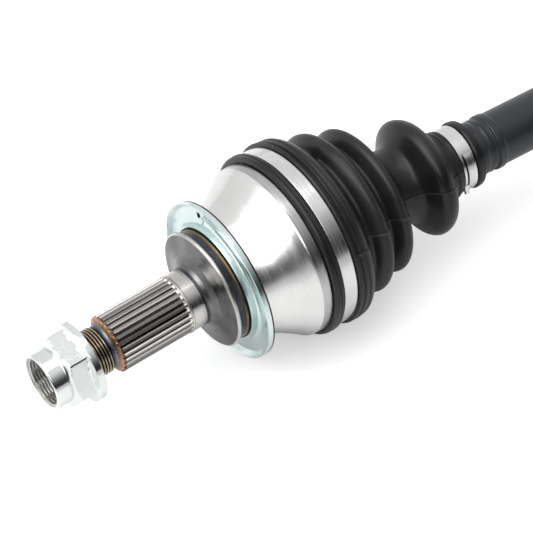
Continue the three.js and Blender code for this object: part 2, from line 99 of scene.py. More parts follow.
class Shader:
    """A Principled material with its nodes made by short calls."""

    def __init__(self, name, color, roughness, metallic):
        self.material = bpy.data.materials.new(name)
        self.material.use_nodes = True
        self.nodes = self.material.node_tree.nodes
        self.links = self.material.node_tree.links
        self.surface = self.nodes["Principled BSDF"]
        self.surface.inputs["Base Color"].default_value = (*color, 1)
        self.surface.inputs["Roughness"].default_value = roughness
        self.surface.inputs["Metallic"].default_value = metallic
        self.coordinates = self.nodes.new("ShaderNodeTexCoord").outputs["Object"]

    def join(self, source, target):
        self.links.new(source, target)

    def stretched(self, scale):
        mapping = self.nodes.new("ShaderNodeMapping")
        mapping.inputs["Scale"].default_value = scale
        self.join(self.coordinates, mapping.inputs["Vector"])
        return mapping.outputs["Vector"]

    def noise(self, scale, detail=4, stretch=(1, 1, 1)):
        texture = self.nodes.new("ShaderNodeTexNoise")
        texture.inputs["Scale"].default_value = scale
        texture.inputs["Detail"].default_value = detail
        self.join(self.stretched(stretch), texture.inputs["Vector"])
        return texture.outputs["Fac"]

    def math(self, operation, first, second=None):
        node = self.nodes.new("ShaderNodeMath")
        node.operation = operation
        for socket, value in zip(node.inputs, (first, second)):
            if value is None:
                continue
            if isinstance(value, (int, float)):
                socket.default_value = value
            else:
                self.join(value, socket)
        return node.outputs[0]

    def along(self):
        """The place along the piece's own axis, in metres."""
        split = self.nodes.new("ShaderNodeSeparateXYZ")
        self.join(self.coordinates, split.inputs[0])
        return split.outputs["X"]

    def radius(self):
        """The distance from the piece's own axis, in metres."""
        split = self.nodes.new("ShaderNodeSeparateXYZ")
        self.join(self.coordinates, split.inputs[0])
        squares = [self.math("MULTIPLY", split.outputs[axis], split.outputs[axis]) for axis in "YZ"]
        return self.math("SQRT", self.math("ADD", *squares))

    def spread(self, value, low, high, to_low=0.0, to_high=1.0):
        node = self.nodes.new("ShaderNodeMapRange")
        self.join(value, node.inputs["Value"])
        for name, number in zip(("From Min", "From Max", "To Min", "To Max"), (low, high, to_low, to_high)):
            node.inputs[name].default_value = number
        return node.outputs["Result"]

    def ramp(self, value, stops):
        node = self.nodes.new("ShaderNodeValToRGB")
        while len(node.color_ramp.elements) < len(stops):
            node.color_ramp.elements.new(0.5)
        for element, (place, color) in zip(node.color_ramp.elements, stops):
            element.position = place
            element.color = (*color, 1)
        self.join(value, node.inputs["Fac"])
        return node.outputs["Color"]

    def blend(self, share, first, second):
        node = self.nodes.new("ShaderNodeMix")
        node.data_type = "RGBA"
        self.join(share, node.inputs["Factor"])
        for socket, value in zip((node.inputs[6], node.inputs[7]), (first, second)):
            if isinstance(value, tuple):
                socket.default_value = (*value, 1)
            else:
                self.join(value, socket)
        return node.outputs[2]

    def color(self, value):
        self.join(value, self.surface.inputs["Base Color"])

    def roughness(self, value):
        self.join(value, self.surface.inputs["Roughness"])

    def bump(self, height, distance, strength=1.0):
        node = self.nodes.new("ShaderNodeBump")
        node.inputs["Strength"].default_value = strength
        node.inputs["Distance"].default_value = distance
        self.join(height, node.inputs["Height"])
        self.join(node.outputs["Normal"], self.surface.inputs["Normal"])


RING_MARKS = (1, 0.03, 0.03)  # stretches a noise into rings round the X axis
LENGTH_MARKS = (0.04, 1, 1)  # stretches it into lines along the X axis
EVEN_MARKS = (1, 1, 1)  # leaves it as it is


def worn_metal(name, color, roughness, tint, marks, mark_scale, depth, spread=0.08):
    """Bare or plated metal: tool marks, cloudy colour and uneven polish."""
    shader = Shader(name, color, roughness, 1)
    lines = shader.noise(mark_scale, 3, marks)
    clouds = shader.noise(60, 5)
    shader.color(shader.blend(shader.spread(clouds, 0.35, 0.7), color, tint))
    mixed = shader.math("ADD", shader.math("MULTIPLY", lines, 0.7), shader.math("MULTIPLY", clouds, 0.3))
    shader.roughness(shader.spread(mixed, 0.3, 0.7, max(roughness - spread, 0.03), roughness + spread))
    shader.bump(lines, depth)
    return shader.material


def thread_metal():
    shader = Shader("thread_bronze", (0.2, 0.16, 0.12), 0.3, 1)
    height = shader.spread(shader.radius(), 0.0111, 0.0119)
    # Darker towards the roots: painted shade in the thread's grooves.
    stops = ((0.0, (0.012, 0.010, 0.010)), (0.4, (0.08, 0.06, 0.045)), (1.0, (0.58, 0.48, 0.36)))
    shader.color(shader.ramp(height, stops))
    shader.roughness(shader.spread(shader.noise(900, 4), 0.3, 0.7, 0.22, 0.42))
    return shader.material


def tempered_metal():
    """The stub's shoulder, tinted by heat from blue through straw to copper."""
    shader = Shader("tempered_steel", (0.3, 0.3, 0.34), 0.3, 1)
    wander = shader.spread(shader.noise(160, 4), 0.3, 0.7, -0.0004, 0.0004)
    place = shader.spread(shader.math("ADD", shader.along(), wander), -0.0892, -0.0845)
    stops = (
        (0.0, (0.05, 0.05, 0.055)),
        (0.2, (0.08, 0.09, 0.105)),
        (0.46, (0.17, 0.19, 0.215)),
        (0.56, (0.27, 0.16, 0.1)),
        (0.74, (0.46, 0.26, 0.15)),
        (1.0, (0.05, 0.035, 0.03)),
    )
    shader.color(shader.ramp(place, stops))
    shader.roughness(shader.spread(shader.noise(700, 4), 0.3, 0.7, 0.22, 0.4))
    return shader.material


def spline_metal():
    shader = Shader("spline_steel", (0.12, 0.12, 0.12), 0.35, 1)
    height = shader.spread(shader.radius(), 0.01345, 0.0147)
    # Colour by radius is painted light: black roots as painted shade, bright flanks as painted highlight lines, dimmer
    # tips.
    stops = (
        (0.0, (0.012, 0.012, 0.012)),
        (0.3, (0.03, 0.03, 0.028)),
        (0.44, (0.85, 0.83, 0.8)),
        (0.92, (0.8, 0.78, 0.75)),
        (1.0, (0.22, 0.215, 0.205)),
    )
    streaks = shader.noise(500, 4, LENGTH_MARKS)
    worn = shader.spread(streaks, 0.35, 0.75, 0, 0.3)
    shader.color(shader.blend(worn, shader.ramp(height, stops), (0.2, 0.19, 0.18)))
    shader.roughness(shader.spread(streaks, 0.3, 0.7, 0.26, 0.48))
    shader.bump(streaks, 0.00008)
    return shader.material


def boot_rubber():
    shader = Shader("boot_rubber", (0.009, 0.009, 0.010), 0.34, 0)
    shader.surface.inputs["Specular IOR Level"].default_value = 0.3
    grain = shader.noise(2600, 3)
    clouds = shader.noise(45, 5)
    specks = shader.spread(shader.noise(420, 2), 0.74, 0.78)
    dust = shader.blend(shader.spread(clouds, 0.4, 0.75), (0.006, 0.006, 0.007), (0.016, 0.016, 0.017))
    shader.color(shader.blend(shader.math("MULTIPLY", specks, 0.25), dust, (0.12, 0.12, 0.12)))
    shader.roughness(shader.spread(clouds, 0.3, 0.7, 0.26, 0.42))
    shader.bump(shader.math("ADD", grain, clouds), 0.00005, 0.5)
    return shader.material


def shaft_paint():
    shader = Shader("shaft_paint", (0.02, 0.025, 0.03), 0.3, 0.2)
    grain = shader.noise(1500, 4)
    clouds = shader.noise(35, 5, (0.3, 1, 1))
    shader.color(shader.blend(shader.spread(clouds, 0.35, 0.7), (0.008, 0.010, 0.012), (0.018, 0.021, 0.025)))
    shader.roughness(shader.spread(clouds, 0.3, 0.7, 0.2, 0.36))
    shader.bump(grain, 0.00006, 0.5)
    return shader.material


MATERIALS = {
    "thread": thread_metal(),
    "tempered": tempered_metal(),
    "spline": spline_metal(),
    "ground": worn_metal(
        "ground_seat", (0.62, 0.61, 0.6), 0.2, (0.5, 0.49, 0.47), RING_MARKS, 1500, 0.00004,
    ),
    "forged": worn_metal("forged_skin", (0.1, 0.1, 0.105), 0.27, (0.2, 0.2, 0.2), RING_MARKS, 500, 0.0001),
    "rim": worn_metal("machined_rim", (0.62, 0.6, 0.56), 0.3, (0.3, 0.28, 0.26), EVEN_MARKS, 400, 0.00008),
    # The dark ring's own blued colour, also used as painted shade on the shield's back face and on the bell's front
    # face under the shield.
    "dark": worn_metal(
        "blued_ring_and_gap_shade", (0.05, 0.052, 0.062), 0.26, (0.085, 0.08, 0.09), RING_MARKS, 500, 0.00006,
    ),
    "rust": worn_metal("rust_line", (0.4, 0.24, 0.12), 0.4, (0.07, 0.05, 0.04), EVEN_MARKS, 300, 0.0001),
    "turned": worn_metal(
        "turned_bell", (0.74, 0.735, 0.73), 0.24, (0.68, 0.675, 0.67), RING_MARKS, 900, 0.00003, 0.05,
    ),
    "turned_grey": worn_metal(
        "turned_grey", (0.4, 0.4, 0.4), 0.26, (0.5, 0.5, 0.5), RING_MARKS, 700, 0.00005,
    ),
    "zinc": worn_metal("zinc_plate", (0.68, 0.78, 0.77), 0.2, (0.57, 0.68, 0.68), RING_MARKS, 300, 0.00002),
    "nut": worn_metal("zinc_nut", (0.78, 0.805, 0.795), 0.12, (0.7, 0.735, 0.72), EVEN_MARKS, 900, 0.00003),
    "band": worn_metal("band_steel", (0.74, 0.74, 0.74), 0.22, (0.6, 0.6, 0.61), RING_MARKS, 600, 0.00006),
    "bearing": worn_metal(
        "bearing_steel", (0.55, 0.56, 0.58), 0.12, (0.48, 0.49, 0.5), RING_MARKS, 400, 0.00002, 0.03,
    ),
    "spring": worn_metal(
        "spring_steel", (0.12, 0.12, 0.13), 0.35, (0.18, 0.17, 0.16), RING_MARKS, 400, 0.00005,
    ),
    "phosphate": worn_metal(
        "phosphated_steel", (0.15, 0.155, 0.16), 0.45, (0.22, 0.22, 0.22), EVEN_MARKS, 900, 0.0001,
    ),
    # Painted shade: black for the gap under the shield, behind its lip, in the clamp's slit and for the drain hole.
    "soot": worn_metal("shadow_gap", (0.01, 0.01, 0.01), 0.6, (0.02, 0.02, 0.02), EVEN_MARKS, 500, 0.00005),
    # Painted shade in the dent beside the drain hole.
    "painted_dent_shade": worn_metal("dent_shade", (0.2, 0.22, 0.22), 0.4, (0.3, 0.32, 0.32), EVEN_MARKS, 500, 0.00005),
    "thread_nut": worn_metal(
        "nut_thread", (0.5, 0.5, 0.48), 0.3, (0.35, 0.34, 0.32), RING_MARKS, 500, 0.00005,
    ),
    "rubber": boot_rubber(),
    "paint": shaft_paint(),
}

# ------------------------------------------------------------------ turned meshes


def even_angles(count):
    return [TURN * step / count for step in range(count)]


def round_corners(points):
    """Rows [x, radius, finish] from corners (x, radius, corner radius, finish), in millimetres."""
    rows = []
    last = len(points) - 1
    for index, (x, radius, corner, finish) in enumerate(points):
        here = Vector((x, radius))
        if corner <= 0 or index in (0, last):
            rows.append((x, radius, finish))
            continue
        before = Vector(points[index - 1][:2]) - here
        after = Vector(points[index + 1][:2]) - here
        half_angle = before.angle(after) / 2
        reach = min(corner / math.tan(half_angle), 0.48 * before.length, 0.48 * after.length)
        start = here + before.normalized() * reach
        end = here + after.normalized() * reach
        steps = 5
        for step in range(steps + 1):
            share = step / steps
            place = start * (1 - share) ** 2 + here * 2 * share * (1 - share) + end * share ** 2
            rows.append((place.x, place.y, points[index - 1][3] if step < steps else finish))
    return rows


def turn(name, rows, angles, matrix, closed=True, smooth_angle=32):
    """A mesh turned round X. A row is (x, radius or a function of the angle, finish), in millimetres;
    rows run along the outside towards +X and back along the inside."""
    mesh = bpy.data.meshes.new(name)
    count = len(angles)
    vertices = []
    for x, radius, _ in rows:
        for angle in angles:
            reach = radius(angle) if callable(radius) else radius
            vertices.append((x * MM, reach * MM * math.cos(angle), reach * MM * math.sin(angle)))
    faces = []
    finishes = []
    row_pairs = len(rows) if closed else len(rows) - 1
    for row in range(row_pairs):
        following = (row + 1) % len(rows)
        for step in range(count):
            beside = (step + 1) % count
            near, far = row * count, following * count
            faces.append((near + step, near + beside, far + beside, far + step))
            finishes.append(rows[row][2])
    mesh.from_pydata(vertices, [], faces)
    names = sorted(set(finishes))
    for finish in names:
        mesh.materials.append(MATERIALS[finish])
    for polygon, finish in zip(mesh.polygons, finishes):
        polygon.material_index = names.index(finish)
    bm = bmesh.new()
    bm.from_mesh(mesh)
    bmesh.ops.remove_doubles(bm, verts=bm.verts, dist=1e-6)
    bmesh.ops.dissolve_degenerate(bm, dist=1e-7, edges=bm.edges)
    bmesh.ops.recalc_face_normals(bm, faces=bm.faces)
    bm.to_mesh(mesh)
    bm.free()
    mesh.shade_smooth()
    mesh.set_sharp_from_angle(angle=math.radians(smooth_angle))
    piece = bpy.data.objects.new(name, mesh)
    piece.matrix_world = matrix
    bpy.context.scene.collection.objects.link(piece)
    return piece


def smooth_curve(points, finish, spacing=1.0):
    """Rows on a smooth curve through (x, radius) points."""
    rows = []
    padded = [points[0]] + list(points) + [points[-1]]
    for index in range(1, len(padded) - 2):
        a, b, c, d = (Vector(point) for point in padded[index - 1 : index + 3])
        count = max(2, round((c - b).length / spacing))
        for step in range(count):
            t = step / count
            place = 0.5 * (
                2 * b
                + (c - a) * t
                + (2 * a - 5 * b + 4 * c - d) * t ** 2
                + (3 * b - a - 3 * c + d) * t ** 3
            )
            rows.append((place.x, place.y, finish))
    rows.append((points[-1][0], points[-1][1], finish))
    return rows


def finish_piece(piece, body, slot, *nodes):
    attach(piece, body)
    if nodes:
        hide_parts(*nodes)
    return piece


def steps_between(start, end, count):
    return [start + (end - start) * step / count for step in range(count + 1)]


# ------------------------------------------------------------------ outer joint housing

THREAD_PITCH = 1.5
THREAD_CREST = 11.9
THREAD_ROOT = 11.05
SPLINE_TEETH = 28
SPLINE_TIP = 14.7
SPLINE_ROOT = 13.45
BALL_COUNT = 6
BALL_CIRCLE = 25
TRACK_RADIUS = 8.2
TRACK_BEND = math.radians(26)  # how far round the ball circle a track goes before it runs straight
BOWL_RADIUS = 29.5


def thread_height(x, angle):
    """How far up a flat-crested V thread a point is, from 0 at the root to 1 at the crest."""
    phase = (x / THREAD_PITCH - angle / TURN) % 1
    return min(1, max(0, 1.25 - abs(phase - 0.5) * 2.9))


def spline_height(angle, teeth):
    phase = (angle / TURN * teeth) % 1
    rise = abs(phase - 0.5) * 2
    return min(1, max(0, (0.72 - rise) / 0.34))


def thread_rows(start, end):
    rows = []
    for x in steps_between(start, end, round((end - start) / THREAD_PITCH * 10)):
        fade = min(1, (x - start) / THREAD_PITCH + 0.1, max(0, (end - x) / 0.6))

        def reach(angle, x=x, fade=fade):
            return THREAD_ROOT + (THREAD_CREST - THREAD_ROOT) * thread_height(x, angle) * fade

        rows.append((x, reach, "thread"))
    return rows


def spline_rows(start, end, tip, root, teeth, entry, exit_radius):
    """Teeth that rise out of a cone at the start, which scallops its edge, and run out at the end."""
    rows = []
    entry_slope = 1.35
    places = steps_between(start, start + 4, 16)
    places += steps_between(start + 4.5, end - 3, 12)
    places += steps_between(end - 2.5, end, 6)
    for x in places:
        cone = entry + (x - start) * entry_slope
        run_out = max(0, (x - end + 2) / 2) ** 2 * (exit_radius - root)

        def reach(angle, cone=cone, run_out=run_out):
            tooth = root + (tip - root) * spline_height(angle, teeth)
            return min(cone, max(tooth, root + run_out))

        rows.append((x, reach, "spline" if x > start + 2.3 else "tempered"))
    return rows


def track_reach(x, angle, bowl):
    """The bowl's inside: its own radius, or a ball track's where that is deeper."""
    pitch = TURN / BALL_COUNT
    offset = (angle - TURN / 4 + pitch / 2) % pitch - pitch / 2
    if x < -20:
        return bowl
    straight = BALL_CIRCLE * math.cos(TRACK_BEND)
    runs_straight = x > BALL_CIRCLE * math.sin(TRACK_BEND)
    centre = straight if runs_straight else math.sqrt(BALL_CIRCLE ** 2 - x ** 2)
    width = TRACK_RADIUS if x > 8 else math.sqrt(max(TRACK_RADIUS ** 2 - (0.05 * x) ** 2, 0))
    side = centre * math.sin(offset)
    if abs(side) >= width:
        return bowl
    return max(bowl, centre * math.cos(offset) + math.sqrt(width ** 2 - side ** 2))


def bowl_rows():
    rows = []
    flare = [(27, 40.4), (22, 35.4), (17, 30.7), (12.5, 26.8)]
    sphere = [(x, math.sqrt(BOWL_RADIUS ** 2 - x ** 2)) for x in (9, 5, 1, -3, -7, -11, -15, -19, -21, -23)]
    for x, radius in flare + sphere:
        rows.append((x, lambda angle, x=x, radius=radius: track_reach(x, angle, radius), "turned_grey"))
    rows.append((-23, 0, "turned_grey"))
    return rows


def housing_piece():
    tip = round_corners([(-110, 0, 0, "turned_grey"), (-110, 10.2, 0.3, "turned_grey"), (-109.2, 11.0, 0, "thread")])
    stub = thread_rows(-109, -89.1)
    undercut = round_corners([
        (-89.0, 11.3, 0, "tempered"),
        (-88.5, 11.2, 0.3, "tempered"),
        (-87.8, 11.2, 0.5, "tempered"),
        (-87.1, 11.7, 0, "tempered"),
    ])
    teeth = spline_rows(-87.0, -46.8, SPLINE_TIP, SPLINE_ROOT, SPLINE_TEETH, 11.8, 14.6)
    body = round_corners([
        (-46.7, 14.6, 0, "rim"),
        (-46.5, 15.1, 0.3, "rim"),
        (-45.7, 15.1, 0.3, "rim"),
        (-45.4, 14.9, 0.2, "ground"),
        (-38.6, 14.9, 0.3, "ground"),
        (-38.3, 14.5, 0.15, "dark"),
        (-37.6, 14.5, 0.2, "dark"),
        (-37.1, 15.2, 0.3, "forged"),
        (-35.4, 16.5, 1.5, "forged"),
        (-33.6, 19.6, 2.5, "forged"),
        (-32.3, 24.6, 2.5, "forged"),
        (-31.7, 29.3, 0.4, "rim"),
        (-31.5, 29.7, 0.4, "rim"),
        (-30.9, 30.3, 0.4, "turned_grey"),
        (-30.1, 30.3, 0.3, "dark"),
        (-29.7, 29.1, 0.3, "dark"),
        (-26.0, 29.0, 0.1, "rust"),
        # From here the seat under the shield is painted black, and the bell's front face behind it dark: painted shade
        # in the gap between shield and housing.
        (-24.9, 29.0, 0.1, "soot"),
        (-18.0, 29.0, 0.2, "dark"),
        (-18.0, 31.6, 0.5, "turned"),
    ])
    body += smooth_curve([(-17.7, 31.9), (-13.0, 33.4), (-7.5, 35.8), (-1.5, 39.2), (3.5, 42.4), (6.2, 44.4)], "turned")
    body += round_corners([
        (6.6, 44.7, 0, "turned"),
        (7.2, 45.0, 0.4, "turned_grey"),
        (12.3, 45.2, 0.3, "turned_grey"),
        (12.3, 43.2, 0.2, "turned_grey"),
        (27.0, 43.2, 0.5, "turned_grey"),
    ])
    rows = tip + stub + undercut + teeth + body + bowl_rows()
    angles = even_angles(SPLINE_TEETH * 12)
    piece = turn("outer_joint_body", rows, angles, OUTER, closed=False)
    return finish_piece(piece, "outer_housing", "turned_steel", "outer_joint_housing")


housing_piece()

# ------------------------------------------------------------------ hub nut


def hexagon_reach(angle, across_flats):
    sixth = TURN / 6
    offset = angle % sixth - sixth / 2
    return across_flats / 2 / math.cos(offset)


NUT_TURN = math.radians(4.5)


def nut_piece():
    across_flats = 33.4
    hex_start, hex_end = -114.3, -102.9
    chamfer = 0.5
    cone_start, cone_radius, cone_slope = -104.5, 16.6, 2.4
    rows = round_corners([
        (-122.2, 12.8, 0, "nut"),
        (-122.2, 13.9, 0.25, "nut"),
        (-121.7, 14.2, 0.3, "nut"),
        (-114.4, 14.2, 0.2, "nut"),
    ])
    for x in steps_between(hex_start, hex_end, 26):
        front = 15.6 + (x - hex_start) / chamfer
        cone = cone_radius + (x - cone_start) * cone_slope

        def reach(angle, front=front, cone=cone):
            return max(min(hexagon_reach(angle - NUT_TURN, across_flats), front), cone)

        rows.append((x, reach, "nut"))
    rows += round_corners([
        (-102.7, 20.3, 0, "nut"),
        (-102.3, 20.4, 0.2, "nut"),
        (-99.5, 20.4, 0.3, "nut"),
        (-99.1, 20.0, 0.2, "nut"),
        (-99.1, 12.9, 0.2, "nut"),
        (-99.7, 12.2, 0, "nut"),
    ])
    start, end = -99.8, -121.6
    thread_from = -110.4
    for x in steps_between(start, end, round((start - end) / THREAD_PITCH * 10)):
        rows.append((x, lambda angle, x=x: 12.3 - 0.75 * thread_height(x, angle) * (x < thread_from), "thread_nut"))
    piece = turn("hub_nut_body", rows, even_angles(180), OUTER)
    return finish_piece(piece, "hub_nut", "zinc_plate", "hub_nut")


nut_piece()

# ------------------------------------------------------------------ dust shield


# The drain hole is drawn as a pressed-in patch painted black as painted shade; the dent beside it is painted darker as
# painted shade.
SLOT_ANGLE = math.radians(61)  # a small drain hole and the dent beside it
NOTCH_ANGLE = math.radians(4)


def pocket_mark(piece, angle, half_angle, inner, outer, depth, finish):
    """Presses the vertices of one small patch of a ring back along the axis and darkens it with painted shade."""
    mesh = piece.data
    index = mesh.materials.find(MATERIALS[finish].name)
    if index < 0:
        mesh.materials.append(MATERIALS[finish])
        index = len(mesh.materials) - 1

    def inside(place, slack=1.0):
        radius = math.hypot(place.y, place.z) / MM
        turn_from = (math.atan2(place.z, place.y) - angle + math.pi) % TURN - math.pi
        return place.x / MM < -19 and inner <= radius <= outer and abs(turn_from) < half_angle * slack

    for polygon in mesh.polygons:
        if inside(polygon.center):
            polygon.material_index = index
    for vertex in mesh.vertices:
        if inside(vertex.co, 0.8):
            vertex.co.x += depth * MM
    mesh.update()


def shield_piece():
    def lip(radius):
        def reach(angle):
            away = (angle - NOTCH_ANGLE + math.pi) % TURN - math.pi
            return radius - 1.1 * math.exp(-((away / math.radians(1.6)) ** 2))

        return reach

    rows = round_corners([
        (-23.9, 29.1, 0, "zinc"),
        (-24.2, 29.5, 0.2, "zinc"),
        (-24.3, 30.5, 0.2, "zinc"),
        (-20.9, 30.9, 0.5, "zinc"),
        (-20.0, 32.5, 0.25, "zinc"),
    ])
    rows += [(-19.9, radius, "zinc") for radius in (33.2, 33.9, 34.6, 35.3)]
    rows += round_corners([
        (-19.9, 36.2, 0, "zinc"),
        (-20.0, 38.8, 0.9, "zinc"),
        (-22.0, 40.5, 0.7, "zinc"),
        (-22.5, 41.0, 0, "zinc"),
    ])
    rows += [(-22.6, lip(41.2), "zinc"), (-22.4, lip(41.5), "zinc")]
    # The lip's rear edge is painted black and the shield's back face dark: painted shade in the gap in front of the
    # bell.
    rows += [(-20.0, lip(41.5), "soot"), (-19.2, lip(41.4), "soot")]
    rows += round_corners([
        (-19.2, 40.6, 0, "soot"),
        (-18.8, 39.6, 0.5, "soot"),
        (-18.4, 38.6, 0.5, "dark"),
        (-18.4, 32.9, 0.5, "zinc"),
        (-19.3, 30.2, 0.4, "zinc"),
        (-19.6, 29.1, 0.2, "zinc"),
    ])
    piece = turn("dust_shield_ring", rows, even_angles(480), OUTER)
    # The hole's patch is painted black and the dent's patch darker: painted shade.
    pocket_mark(piece, SLOT_ANGLE, math.radians(2.3), 33.1, 35.4, 0.9, "soot")
    pocket_mark(piece, SLOT_ANGLE + math.radians(4.5), math.radians(1.3), 31.0, 33.2, 0.3, "painted_dent_shade")
    return finish_piece(piece, "outer_housing", "zinc_plate", "dust_shield")


shield_piece()

# ------------------------------------------------------------------ boots

BOOT_WALL = 2.2
SEAM_ANGLE = math.radians(-28)
POCKET_ANGLE = math.radians(74)  # where the first valley is pinched in
BEND_START = 40  # between these two the outer boot turns from the housing's line to the shaft's at rest
BEND_END = 108


def seam_angles(count, seams, spread=math.radians(2.5), extra=8):
    """Even angles, with more of them close to each moulding seam."""
    angles = even_angles(count)
    for seam in seams:
        angles += [seam + spread * (2 * step / extra - 1) for step in range(extra + 1)]
    return sorted(set(round(angle % TURN, 7) for angle in angles))


def with_seam(rows, seams, height, step, from_x, to_x):
    """The same rows with a thin flash line at each seam. The half of the mould above the first seam
    lies a step lower than the other."""
    width = math.radians(0.7)
    seamed = []
    for x, radius, finish in rows:
        if not from_x < x < to_x:
            seamed.append((x, radius, finish))
            continue

        def reach(angle, x=x, radius=radius):
            bare = radius(angle) if callable(radius) else radius
            offsets = [(angle - seam + math.pi) % TURN - math.pi for seam in seams]
            nearest = min(abs(offset) for offset in offsets)
            above = min(1, max(0, 0.5 + offsets[0] / width)) * min(1, max(0, 0.5 - offsets[1] / width))
            if abs(offsets[0]) > math.pi / 2 and abs(offsets[1]) > math.pi / 2:
                above = 0
            end_fade = min(1, (x - from_x) / 2, (to_x - x) / 2)
            return bare + height * math.exp(-((nearest / width) ** 2)) - step * above * end_fade

        seamed.append((x, reach, finish))
    return seamed


def pressed_in(rows, place_x, place_angle, reach_x, reach_angle, depth):
    """The same rows with one soft dimple, or a swelling where the depth is negative."""
    dented = []
    for x, radius, finish in rows:
        near = math.exp(-(((x - place_x) / reach_x) ** 2))
        if near < 0.01:
            dented.append((x, radius, finish))
            continue

        def reach(angle, radius=radius, near=near):
            bare = radius(angle) if callable(radius) else radius
            away = (angle - place_angle + math.pi) % TURN - math.pi
            return bare - depth * near * math.exp(-((away / reach_angle) ** 2))

        dented.append((x, reach, finish))
    return dented


def bend_with_housing(piece):
    """Turns a boot's large end with the bent housing, and leaves its small end in line with the shaft."""
    for vertex in piece.data.vertices:
        x, y = vertex.co.x, vertex.co.y
        share = min(1, max(0, (x / MM - BEND_START) / (BEND_END - BEND_START)))
        angle = REST_BEND * (1 - share * share * (3 - 2 * share))
        vertex.co.x = x * math.cos(angle) - y * math.sin(angle)
        vertex.co.y = x * math.sin(angle) + y * math.cos(angle)
    piece.data.update()


def outer_boot_piece():
    collar = round_corners([
        (12.8, 43.5, 0, "rubber"),
        (12.6, 46.6, 0.5, "rubber"),
        (13.2, 47.8, 0.5, "rubber"),
        (14.2, 48.2, 0.4, "rubber"),
        (15.0, 48.2, 0.2, "rubber"),
        (15.4, 47.6, 0.2, "rubber"),
        (15.9, 48.3, 0.3, "rubber"),
        (17.3, 48.2, 0.4, "rubber"),
        (17.9, 46.4, 0.3, "rubber"),
        (26.1, 46.4, 0.3, "rubber"),
        (26.4, 48.8, 0.4, "rubber"),
        (27.4, 49.3, 0.3, "rubber"),
        (28.0, 48.3, 0.2, "rubber"),
        (29.0, 48.3, 0.2, "rubber"),
        (29.6, 49.3, 0.3, "rubber"),
        (30.6, 49.3, 0.3, "rubber"),
        (31.1, 48.5, 0.2, "rubber"),
        (32.2, 48.5, 0.2, "rubber"),
        (32.7, 49.1, 0.3, "rubber"),
        (34.0, 48.8, 0.4, "rubber"),
    ])
    folds = smooth_curve([
        (35.0, 48.2), (37.4, 45.8), (39.4, 41.4), (41.2, 38.4),
        (43.4, 38.2), (45.6, 41.0), (48.2, 43.2), (50.6, 43.2),
        (52.8, 41.0), (54.6, 36.6), (56.4, 33.2), (58.6, 33.0),
        (60.6, 36.0), (62.6, 38.6), (64.8, 39.2), (67.2, 37.2),
        (69.6, 32.0), (71.8, 26.0), (74.2, 21.9), (77.4, 20.6),
        (82.6, 20.6), (86.2, 21.9), (89.2, 25.9), (91.8, 29.9),
        (94.2, 31.3), (96.8, 31.0), (99.6, 29.4), (101.8, 26.0),
        (103.6, 21.8), (105.2, 19.3), (106.8, 18.8),
    ], "rubber")
    small_end = round_corners([
        (107.2, 18.7, 0, "rubber"),
        (107.6, 18.2, 0.2, "rubber"),
        (108.6, 18.2, 0.2, "rubber"),
        (109.0, 18.6, 0.2, "rubber"),
        (110.0, 18.4, 0.3, "rubber"),
        (110.4, 17.8, 0.2, "rubber"),
        (111.6, 17.6, 0.3, "rubber"),
        (112.2, 17.3, 0.3, "rubber"),
        (112.5, 16.0, 0.3, "rubber"),
        (120.8, 16.0, 0.3, "rubber"),
        (121.1, 17.4, 0.3, "rubber"),
        (122.3, 17.9, 0.5, "rubber"),
        (124.9, 17.6, 0.6, "rubber"),
        (125.8, 16.6, 0.4, "rubber"),
        (125.8, 12.7, 0.2, "rubber"),
        (111.0, 12.7, 0, "rubber"),
    ])
    inside = smooth_curve([
        (105.2, 16.8), (102.6, 20.4), (99.4, 26.6), (94.6, 28.5),
        (90.4, 25.0), (86.6, 19.8), (82.0, 18.4), (77.0, 18.4),
        (73.6, 20.4), (69.0, 29.0), (64.6, 36.8), (60.6, 33.0),
        (57.6, 30.8), (54.0, 34.6), (49.6, 41.0), (45.6, 38.4),
        (42.4, 34.6), (39.0, 38.8), (36.0, 43.4), (34.0, 43.5),
    ], "rubber", 2.0)
    seams = (SEAM_ANGLE, SEAM_ANGLE + math.pi)
    folds = pressed_in(folds, 41.5, POCKET_ANGLE, 2.7, math.radians(4.5), 3.0)
    folds = pressed_in(folds, 46.4, POCKET_ANGLE, 1.0, math.radians(4), -0.7)
    outside = with_seam(collar + folds + small_end, seams, 0.2, 0.8, 26.6, 112.4)
    rows = outside + inside
    piece = turn("outer_boot_bellows", rows, seam_angles(168, seams), SHAFT, smooth_angle=40)
    bend_with_housing(piece)
    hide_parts("outer_boot")
    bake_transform(piece)
    return piece


outer_boot_piece()

INNER_PEAKS = (46.4, 42.0, 36.6, 31.0)
INNER_VALLEYS = (37.8, 34.6, 27.0, 19.8)
FOLD_PITCH = 14
INNER_SPLIT = -54  # the valley where the boot's two stretches meet


def inner_boot_outline():
    """The fold curve from the large collar to the small end's neck, outside and inside."""
    outside = [(-34, 48.8)]
    inside = [(-35, 45.2)]
    x = -33
    for peak, valley in zip(INNER_PEAKS, INNER_VALLEYS):
        if x < -33:
            outside += [(x + 1.4, peak - 0.4), (x - 1.4, peak - 0.4)]
            inside.append((x, peak - BOOT_WALL))
        middle = x - FOLD_PITCH / 2
        outside += [(middle + 1.4, valley + 0.4), (middle, valley), (middle - 1.4, valley + 0.4)]
        inside.append((middle, valley - BOOT_WALL))
        x -= FOLD_PITCH
    return outside, inside


